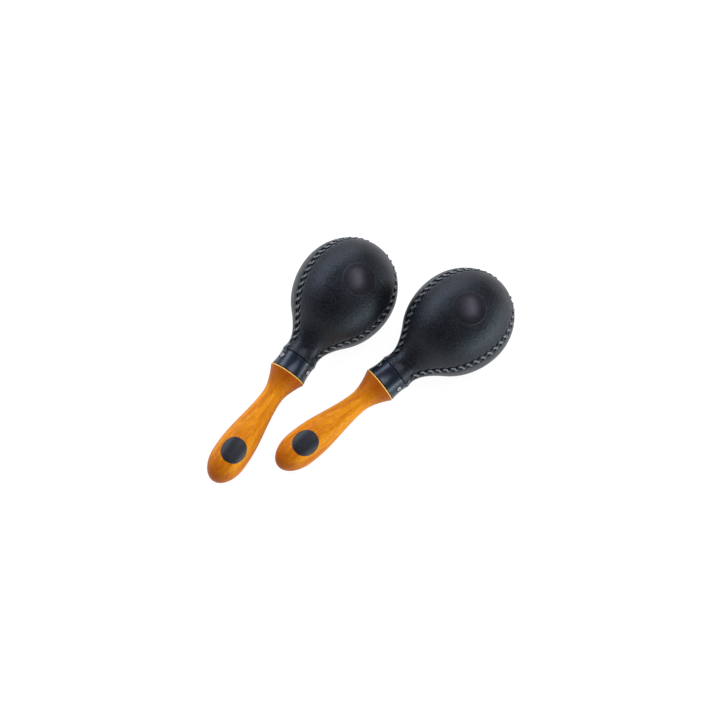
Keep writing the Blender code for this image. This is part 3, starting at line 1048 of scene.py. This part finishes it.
@dataclass(frozen=True)
class Seam:
    """Whipped seam between two panels, measured along the head's outline from its lip."""

    gap: float = 0.6
    stitches: int = 20
    start: float = 8.5
    end: float = 9.0
    draw_in: Span = (-3.0, 2.0)
    near_share: float = 0.25
    far_share: float = 0.75
    hole_offset: float = 2.7
    hole_radius: float = 1.1
    slot_length: float = 5.0
    slot_shift: float = -1.4
    groove_depth: float = 0.3
    groove_flat: float = 2.6
    groove_width: float = 5.2
    valley: float = 0.75
    pucker: float = 0.3
    pucker_radius: float = 1.7
    edge_round: float = 0.35
    thong_width: float = 2.2
    thong_tuck: float = 0.9
    thong_thickness: float = 1.0
    knot_thickness: float = 1.8

    def first_hole(self, far: bool) -> float:
        """Place of the first hole on the near or far side, as a share of a stitch."""
        return self.far_share if far else self.near_share

    def pitch(self, length: float) -> float:
        """Distance between stitches on an outline of this length."""
        return (length - self.start - self.end) / self.stitches

    def holes(self, length: float, far: bool) -> list[float]:
        """Distances of the holes on the near or far side of the seam."""
        places = (self.first_hole(far) + index for index in range(self.stitches))
        return [self.start + place * self.pitch(length) for place in places]

    def groove(self, lateral: float) -> float:
        """Depth of the groove along the seam, which is a valley where the two edges meet."""
        beside = self.groove_depth * (1.0 - ease(self.groove_flat, self.groove_width, lateral))
        return beside + self.valley * (1.0 - ease(0.0, self.hole_offset, lateral))

    def depth(self, distance: float, lateral: float, length: float, far: bool) -> float:
        """How far the leather is drawn in beside the seam.

        Args:
            distance: How far along the outline.
            lateral: How far beside the seam.
            length: The outline's length.
            far: Whether the point is on the seam's far side.

        Returns:
            The depth in millimetres.
        """
        drawn = ease(*self.draw_in, distance - self.start)
        rounded = self.edge_round * math.exp(-(((lateral - self.gap / 2) / self.edge_round) ** 2))
        pitch = self.pitch(length)
        phase = (distance - self.start) / pitch - self.first_hole(far)
        along = (phase - min(max(round(phase), 0), self.stitches - 1)) * pitch
        reach = math.hypot(along, lateral - self.hole_offset) / self.pucker_radius
        return drawn * self.groove(lateral) + rounded + self.pucker * math.exp(-reach * reach)


@dataclass
class Head:
    """Egg of leather panels on a hollow neck, laced along its seams, with a roundel on its front.

    A panel's mesh has its closest columns beside a seam, at given distances from it. Where the head is
    slim, crowding keeps them to a share of its radius: the first column's, and what is added up to the last.
    """

    shoulder: float = 123.6
    lip_radius: float = 15.7
    lip_round: float = 0.7
    lip_bevel: float = 0.21
    lip_backing: Span = (0.8, 2.0)
    neck_radius: float = 14.7
    neck_length: float = 6.5
    throat_length: float = 24.8
    radius: float = 42.7
    belly_length: float = 52.0
    belly_share: float = 0.745
    crown_length: float = 46.5
    tip_radius: float = 1.2
    leather: float = 2.0
    sleeve_bore: float = 10.85
    sleeve_bottom: float = 109.0
    roundel_level: float = 199.0
    roundel_radius: float = 14.8
    roundel_dome: float = 0.5
    roundel_lift: float = 0.18
    roundel_sink: float = 0.4
    roundel_edge: float = 0.94
    roundel_rings: int = 30
    rim_height: float = 0.12
    rim_share: float = 0.945
    rim_width: float = 0.03
    throat_steps: tuple[int, int] = (16, 48)
    belly_steps: int = 64
    crown_steps: int = 96
    neck_rows: int = 8
    stitch_rows: int = 8
    tip_rows: int = 10
    seam_columns: tuple[float, ...] = (
        *(0.3, 0.42, 0.6, 0.9, 1.3, 1.7, 2.15, 2.6),
        *(3.05, 3.5, 4.0, 4.6, 5.3, 6.0, 6.8, 7.8),
    )
    crowding: Span = (0.25, 0.55)
    middle_columns: int = 18
    hole_steps: int = 16
    lace_steps: int = 3
    lace_sides: int = 10
    lace_clearance: float = 0.15
    lace_lift: float = 0.05
    lace_dip: float = 0.25
    lace_bend: Span = (0.4, 0.5)
    lace_points: tuple[float, ...] = (0.03, 0.16, 0.33, 0.5, 0.67, 0.84, 0.97)
    knot_lean: float = 20.0
    knot_rise: tuple[Span, ...] = ((0.2, -0.8), (1.0, 0.2), (2.3, 0.55), (3.6, 0.3), (4.9, -0.8))
    knot_end: float = 6.1
    seam: Seam = Seam()

    def outline(self) -> Outline:
        """Outer outline of the leather.

        Returns:
            Points from the lip at the collar to the tip of the crown.
        """
        waist = (self.neck_radius, self.shoulder + self.neck_length)
        belly = waist[1] + self.throat_length + self.belly_share * self.belly_length
        rise = math.sqrt(1.0 - self.belly_share**2)
        join = (self.radius * rise, waist[1] + self.throat_length)
        slope = self.radius * self.belly_share / (self.belly_length * rise)
        lip = (self.lip_radius, self.shoulder)
        neck, throat = self.throat_steps
        points = [lip, *hermite(lip, waist, 0.0, neck), *hermite(waist, join, slope, throat)]
        for angle in spread(math.acos(self.belly_share), QUARTER_TURN, self.belly_steps)[1:]:
            points.append((self.radius * math.sin(angle), belly - self.belly_length * math.cos(angle)))
        for angle in spread(0.0, math.acos(self.tip_radius / self.radius), self.crown_steps)[1:]:
            points.append((self.radius * math.cos(angle), belly + self.crown_length * math.sin(angle)))
        return points

    def row_distances(self, length: float) -> list[float]:
        """Distances of a panel's rows, evenly spread over the neck, each stitch and the tip.

        Args:
            length: The outline's length.

        Returns:
            Distances along the outline.
        """
        start, end = self.seam.start, length - self.seam.end
        neck = spread(self.lip_round, start, self.neck_rows)[:-1]
        stitched = spread(start, end, self.stitch_rows * self.seam.stitches)[:-1]
        return [*neck, *stitched, *spread(end, length, self.tip_rows)]

    def columns(self, radius: float) -> list[float]:
        """Angles of a row's columns, closest together beside the seams.

        Args:
            radius: The row's radius.

        Returns:
            Angles off the panel's middle.
        """
        first, more = self.crowding
        edge = []
        for index, lateral in enumerate(self.seam_columns):
            limit = first + more * index / len(self.seam_columns)
            edge.append(PANEL_ANGLE / 2 - math.asin(min(lateral / radius, limit)))
        steps = range(1, self.middle_columns)
        middle = [edge[-1] * (1.0 - 2.0 * step / self.middle_columns) for step in steps]
        return [*edge, *middle, *(-angle for angle in reversed(edge))]

    def panel(self) -> bpy.types.Mesh:
        """One panel, its share of the head and of the neck sleeve, with its lacing slots.

        Returns:
            The panel's mesh, its middle towards +X.
        """
        meridian = Meridian(self.outline())
        sleeve = self.sleeve_bore + self.leather
        lip = self.lip_radius - self.lip_round
        edge = (self.lip_radius - self.lip_bevel, self.shoulder + self.lip_bevel)
        low, high = self.lip_backing
        rows = [
            ((sleeve, self.sleeve_bottom), (self.sleeve_bore, self.sleeve_bottom), None),
            ((sleeve, self.shoulder), (self.sleeve_bore, self.shoulder), None),
            ((lip, self.shoulder), (self.sleeve_bore, self.shoulder + low), None),
            (edge, (sleeve, self.shoulder + high), None),
        ]
        for distance in self.row_distances(meridian.length):
            radius, level, nr, nz = meridian.at(distance)
            inside = (radius - self.leather * nr, level - self.leather * nz)
            rows.append(((radius, level), inside, distance))
        shape = bmesh.new()
        sheets: tuple[list, list] = ([], [])
        for outer, inner, distance in rows:
            nr, nz = (1.0, 0.0) if distance is None else meridian.at(distance)[2:]
            for sheet, (radius, level) in zip(sheets, (outer, inner)):
                row = []
                for angle in self.columns(radius):
                    depth = 0.0
                    if distance is not None:
                        lateral = radius * math.sin(PANEL_ANGLE / 2 - abs(angle))
                        depth = self.seam.depth(distance, lateral, meridian.length, angle < 0.0)
                    row.append(shape.verts.new(polar(radius - depth * nr, angle, level - depth * nz)))
                sheet.append(row)
        for sheet in sheets:
            add_strip(shape, sheet, closed=False)
        add_strip(shape, [border(sheet) for sheet in sheets], closed=True)
        return carved(to_mesh(shape, "panel"), self.hole_tool(meridian))

    def hole_tool(self, meridian: Meridian) -> bmesh.types.BMesh:
        """Rods that cut a panel's lacing slots, far ones along one edge and near ones along the other.

        Args:
            meridian: The head's outline.

        Returns:
            The rods, stretched along the seams.
        """
        tool = bmesh.new()
        stretch = Matrix.Diagonal((1.0, 0.5 * self.seam.slot_length / self.seam.hole_radius, 1.0, 1.0))
        for far in (False, True):
            edge = -PANEL_ANGLE / 2 if far else PANEL_ANGLE / 2
            for distance in self.seam.holes(meridian.length, far):
                radius, level, nr, nz = meridian.at(distance + self.seam.slot_shift)
                offset = math.asin(self.seam.hole_offset / radius)
                angle = edge - math.copysign(offset, edge)
                spot = polar(radius - self.leather * nr, angle, level - self.leather * nz)
                normal = Vector((nr * math.cos(angle), nr * math.sin(angle), nz))
                lean = normal.to_track_quat("Z", "Y").to_matrix().to_4x4()
                place = Matrix.Translation(spot) @ lean @ stretch
                add_rod(tool, self.seam.hole_radius, 3 * self.leather, place, self.hole_steps)
        return tool

    def lace_route(self, meridian: Meridian) -> list[tuple[Vector, Vector, float, float]]:
        """Route of the lace along the seam in the XZ plane.

        Args:
            meridian: The head's outline.

        Returns:
            Points in millimetres, each with the way the thong's width lies, its breadth and thickness.
        """
        seam = self.seam
        under = -seam.groove_depth - self.leather - 0.5 * seam.thong_thickness - self.lace_clearance
        inside = -seam.groove_depth - 0.5 * self.leather
        over = 0.5 * seam.thong_thickness + self.lace_lift
        slant = 0.5 * seam.pitch(meridian.length) / (2.0 * seam.hole_offset)
        route = []

        def add(distance: float, lateral: float, height: float, lean: float, thickness: float) -> None:
            """Add a point, where a lean of 1 lays the thong's width square to the slanted strand."""
            radius, level, nr, nz = meridian.at(distance)
            radius, level = radius + height * nr, level + height * nz
            spot = Vector((math.sqrt(radius**2 - lateral**2), lateral, level))
            breadth = seam.thong_width * (seam.thong_tuck + (1.0 - seam.thong_tuck) * min(lean, 1.0))
            route.append((spot, Vector((-nz, -lean * slant, nr)).normalized(), breadth, thickness))

        for distance, height in (*self.knot_rise, (self.knot_end, under)):
            add(distance, 0.0, height, self.knot_lean, seam.knot_thickness)
        thin = seam.thong_thickness
        near_holes = seam.holes(meridian.length, far=False)
        for near, far in zip(near_holes, seam.holes(meridian.length, far=True)):
            add(near, -seam.hole_offset, under, 0.0, thin)
            add(near, -seam.hole_offset, inside, 0.0, thin)
            for share in self.lace_points:
                lateral = (2.0 * share - 1.0) * seam.hole_offset
                lean = 1.0 - ease(*self.lace_bend, abs(share - 0.5))
                height = over - seam.groove(abs(lateral)) - self.lace_dip * (1.0 - lean)
                add(near + share * (far - near), lateral, height, lean, thin)
            add(far, seam.hole_offset, inside, 0.0, thin)
            add(far, seam.hole_offset, under, 0.0, thin)
        return route

    def lace(self) -> bpy.types.Mesh:
        """Flat thong whipped along a seam, one unbroken run.

        Returns:
            The thong's mesh, its seam towards +X.
        """
        route = self.lace_route(Meridian(self.outline()))
        path = []
        for index, (here, after) in enumerate(pairwise(route)):
            four = [route[min(max(index + step, 0), len(route) - 1)][0] for step in (-1, 0, 1, 2)]
            for share in spread(0.0, 1.0, self.lace_steps)[:-1]:
                sizes = [low + share * (high - low) for low, high in zip(here[2:], after[2:])]
                path.append((catmull_rom(four, share), here[1].lerp(after[1], share), *sizes))
        path.append(route[-1])
        shape = bmesh.new()
        rings = []
        for index, (spot, width, breadth, thickness) in enumerate(path):
            before, after = path[max(index - 1, 0)][0], path[min(index + 1, len(path) - 1)][0]
            along = (after - before).normalized()
            side = (width - along * width.dot(along)).normalized()
            upward = along.cross(side)
            ring = []
            for angle in spread(0.0, FULL_TURN, self.lace_sides)[:-1]:
                offset = side * (math.cos(angle) * breadth / 2)
                offset += upward * (math.sin(angle) * thickness / 2)
                ring.append(shape.verts.new((spot + offset) * MM))
            rings.append(ring)
        add_strip(shape, rings, closed=True)
        for ring in (rings[0], rings[-1]):
            shape.faces.new(ring)
        return to_mesh(shape, "lace")

    def roundel(self, turn: float) -> bpy.types.Mesh:
        """Plain roundel pressed into the front panel.

        Args:
            turn: Where its middle is round the head, in degrees off the front.

        Returns:
            A thin domed patch with a fine rim.
        """
        meridian = Meridian(self.outline())

        def relief(share: float) -> float:
            """Height of the low dome and its rim, which sinks into the leather at its edge."""
            rim = self.rim_height * math.exp(-(((share - self.rim_share) / self.rim_width) ** 2))
            dome = self.roundel_lift + self.roundel_dome * (1.0 - share**2)
            return dome + rim - self.roundel_sink * ease(self.roundel_edge, 1.0, share)

        middle = meridian.distance_to(self.roundel_level)
        angle = math.radians(turn)
        shape = patch(meridian, middle, angle, self.roundel_radius, relief, self.roundel_rings)
        return to_mesh(shape, "roundel")

    def dress(self, stand: Stand) -> None:
        """Add the panels, the laces and the roundel to a maraca.

        Args:
            stand: Where the maraca's pieces go.
        """
        panel, lace = self.panel(), self.lace()
        for number in range(PANELS):
            name = f"back_panel_{number}" if number else "front_panel"
            turn = Matrix.Rotation(number * PANEL_ANGLE, 4, "Z")
            stand.add(name, panel, FormedLeather(), Slot.LEATHER, turn=turn)
            stand.add(f"seam_lace_{number + 1}", lace, WaxedLace(), Slot.LACE, turn=seam_turn(number))
        roundel = self.roundel(stand.lie.roundel_turn)
        stand.add("roundel", roundel, PressedLeather(), Slot.LEATHER, stands_for=False)


def catmull_rom(four: Sequence[Vector], share: float) -> Vector:
    """Point between the second and third of four points, on a smooth curve through them.

    Args:
        four: The points.
        share: How far from the second point to the third.

    Returns:
        The point.
    """
    p0, p1, p2, p3 = four
    straight = (p2 - p0) * share
    bend = (2 * p0 - 5 * p1 + 4 * p2 - p3) * share**2
    twist = (3 * p1 - p0 - 3 * p2 + p3) * share**3
    return 0.5 * (2 * p1 + straight + bend + twist)


@dataclass
class Seeds:
    """Loose seeds in a head, one for each CAD bead."""

    count: int = 8
    radius: float = 3.0
    flattening: tuple[float, float, float] = (0.99, 0.9, 0.84)
    wrinkle: float = 0.12
    wrinkles_across: float = 2.0
    unlikeness: float = 7.0
    scar_depth: float = 0.35
    scar_width: float = 0.3
    turn_between: float = 1.3

    def seed(self, number: int) -> bpy.types.Mesh:
        """One seed: slightly flat and uneven, with the scar of its stalk.

        Args:
            number: Which seed, so that no two are alike.

        Returns:
            Its mesh about its own middle.
        """
        shape = bmesh.new()
        bmesh.ops.create_icosphere(shape, subdivisions=3, radius=1.0)
        for vertex in shape.verts:
            direction = vertex.co.normalized()
            away = Vector((self.unlikeness * number, 0.0, 0.0))
            uneven = self.wrinkle * noise.noise(self.wrinkles_across * direction + away)
            off_scar = (direction - Vector((0.0, 1.0, 0.0))).length / self.scar_width
            scar = self.scar_depth * math.exp(-(off_scar**2))
            size = self.radius * (1.0 - self.wrinkle / 2 + uneven / 2 - scar / self.radius)
            vertex.co = Vector(part * flat for part, flat in zip(direction, self.flattening)) * size * MM
        axis = Vector((1.0, 0.5, 0.3 * number)).normalized()
        shape.transform(Matrix.Rotation(self.turn_between * number, 4, axis))
        return to_mesh(shape, "seed")

    def dress(self, stand: Stand) -> None:
        """Put a seed in the place of each bead of a maraca.

        Args:
            stand: Where the maraca's pieces go.
        """
        for number in range(1, self.count + 1):
            node = f"{stand.prefix}_bead_{number}"
            low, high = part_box(node)
            middle = Matrix.Translation((Vector(low) + Vector(high)) / 2)
            piece = laid_piece(f"dressed_{node}", self.seed(number), middle, DriedSeed())
            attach(piece, f"{node}_body")
            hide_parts(node)


# Studio


@dataclass(frozen=True)
class Softbox:
    """A soft lamp, measured in metres and watts.

    It faces a target from an offset, and is slid along its own length without turning.
    """

    name: str
    offset: tuple[float, float, float]
    size: Span
    power: float
    slide: float
    colour: str

    def build(self, target: Vector) -> None:
        """Set the lamp up.

        Args:
            target: What it faces.
        """
        lamp = bpy.data.lights.new(self.name, "AREA")
        lamp.shape = "RECTANGLE"
        lamp.size, lamp.size_y = self.size
        lamp.energy = self.power
        lamp.color = linear(self.colour)[:3]
        made = bpy.data.objects.new(self.name, lamp)
        facing = (-Vector(self.offset)).to_track_quat("-Z", "Y")
        made.location = target + Vector(self.offset) + facing @ Vector((self.slide, 0.0, 0.0))
        made.rotation_euler = facing.to_euler()
        made.visible_camera = False
        bpy.context.scene.collection.objects.link(made)


@dataclass
class Studio:
    """White sweep, soft lamps and the camera at the photograph's angle."""

    target: tuple[float, float, float] = (-0.0015, 0.0131, -0.0004)
    distance: float = 1.5
    elevation: float = 66.0
    lens: float = 88.2
    sensor: float = 36.0
    floor_size: float = 12.0
    paper: str = "#e6e6e6"
    fleck: str = "#ebebeb"
    fleck_size: float = 3.0
    white: str = "#ffffff"
    shadow_share: float = 0.18
    glow: float = 1.15
    fill: float = 0.3
    wall_fade: Span = (0.0, 14.0)
    ceiling: float = 0.08
    softboxes: tuple[Softbox, ...] = (
        Softbox("softbox_left_back", (-0.61, 0.58, 0.69), (2.2, 0.42), 15.5, -0.45, "#e6efff"),
        Softbox("softbox_right_front", (0.9, -0.65, 0.14), (2.2, 0.25), 13.5, 0.3, "#e4f6f8"),
        Softbox("softbox_overhead", (0.42, 0.12, 1.1), (0.9, 0.5), 6.5, 0.0, "#f4f0ff"),
    )

    def camera(self) -> None:
        """Put the camera where the photograph was taken from."""
        lens = bpy.data.cameras.new("camera")
        lens.lens = self.lens
        lens.sensor_width = self.sensor
        made = bpy.data.objects.new("camera", lens)
        lift = math.radians(self.elevation)
        back = Vector((0.0, -math.cos(lift), math.sin(lift)))
        made.location = Vector(self.target) + back * self.distance
        made.rotation_euler = (-back).to_track_quat("-Z", "Y").to_euler()
        bpy.context.scene.collection.objects.link(made)
        bpy.context.scene.camera = made

    def seen(self, tree: bpy.types.NodeTree) -> Socket:
        """Find the rays that show the background: to the camera, in gloss and through glass.

        Args:
            tree: Node tree of the floor or the room.

        Returns:
            A socket that is 1 for those rays.
        """
        path = add_node(tree, "ShaderNodeLightPath")
        shown = path.outputs["Is Camera Ray"]
        for name in ("Is Glossy Ray", "Is Transmission Ray"):
            rays = {0: shown, 1: path.outputs[name]}
            shown = add_node(tree, "ShaderNodeMath", rays, operation="MAXIMUM").outputs[0]
        return shown

    def floor(self) -> None:
        """Lay the white paper floor, which keeps a faint shadow under the pair."""
        shape = bmesh.new()
        bmesh.ops.create_grid(shape, x_segments=8, y_segments=8, size=self.floor_size / 2)
        made = bpy.data.objects.new("paper_floor", to_mesh(shape, "paper_floor"))
        paper = bpy.data.materials.new("white_seamless_paper")
        paper.use_nodes = True
        tree = paper.node_tree
        tree.nodes.clear()
        spot = add_node(tree, "ShaderNodeTexCoord").outputs["Object"]
        size = {"Vector": spot, "Scale": repeats(self.fleck_size), "Detail": 3.0}
        fibre = add_node(tree, "ShaderNodeTexNoise", size)
        tones = {0: fibre.outputs["Fac"], 6: linear(self.paper), 7: linear(self.fleck)}
        colour = add_node(tree, "ShaderNodeMix", tones, data_type="RGBA")
        matt = add_node(tree, "ShaderNodeBsdfDiffuse", {"Color": colour.outputs[2]})
        light = {"Color": linear(self.white), "Strength": self.glow}
        glow = add_node(tree, "ShaderNodeEmission", light)
        weights = {0: self.seen(tree), 1: 1.0 - self.shadow_share}
        share = add_node(tree, "ShaderNodeMath", weights, operation="MULTIPLY")
        layers = {0: share.outputs[0], 1: matt.outputs[0], 2: glow.outputs[0]}
        mix = add_node(tree, "ShaderNodeMixShader", layers)
        add_node(tree, "ShaderNodeOutputMaterial", {"Surface": mix.outputs[0]})
        made.data.materials.append(paper)
        bpy.context.scene.collection.objects.link(made)

    def room(self) -> None:
        """Fill with light from all round, seen as plain white and mirrored as walls under a ceiling."""
        world = bpy.data.worlds.new("studio_room")
        bpy.context.scene.world = world
        world.use_nodes = True
        tree = world.node_tree
        direction = add_node(tree, "ShaderNodeTexCoord").outputs["Generated"]
        height = add_node(tree, "ShaderNodeSeparateXYZ", {0: direction}).outputs["Z"]
        low, high = (math.sin(math.radians(angle)) for angle in self.wall_fade)
        fade = {"Value": height, "From Min": low, "From Max": high, "To Min": 1.0, "To Max": self.ceiling}
        wall = add_node(tree, "ShaderNodeMapRange", fade, interpolation_type=Fade.SOFT.value).outputs[0]
        level = add_node(tree, "ShaderNodeMix", {0: self.seen(tree), 2: self.fill, 3: wall}).outputs[0]
        camera_ray = add_node(tree, "ShaderNodeLightPath").outputs["Is Camera Ray"]
        level = add_node(tree, "ShaderNodeMix", {0: camera_ray, 2: level, 3: 1.0}).outputs[0]
        backdrop = tree.nodes["Background"]
        backdrop.inputs["Color"].default_value = linear(self.white)
        tree.links.new(level, backdrop.inputs["Strength"])

    def build(self) -> None:
        """Set up the camera, the floor and the light."""
        self.camera()
        self.floor()
        self.room()
        for softbox in self.softboxes:
            softbox.build(Vector(self.target))
        bpy.context.scene.view_settings.view_transform = "Standard"


PAIR = (
    Lie(Side.LEFT, (-121.835, -100.455, 11.574), 34.5, roll=-17.0, disc_turn=-3.1, roundel_turn=3.4),
    Lie(Side.RIGHT, (-69.039, -87.494, 11.574), 52.2, roll=-15.0, disc_turn=0.1, roundel_turn=-1.6),
)


def main() -> None:
    """Build the studio and both maracas."""
    logging.basicConfig(level=logging.INFO, format="%(name)s: %(message)s")
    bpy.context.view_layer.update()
    Studio().build()
    for lie in PAIR:
        stand = Stand(lie)
        for assembly in (Handle(), Collar(), Head(), Seeds()):
            assembly.dress(stand)


if __name__ == "__main__":
    main()
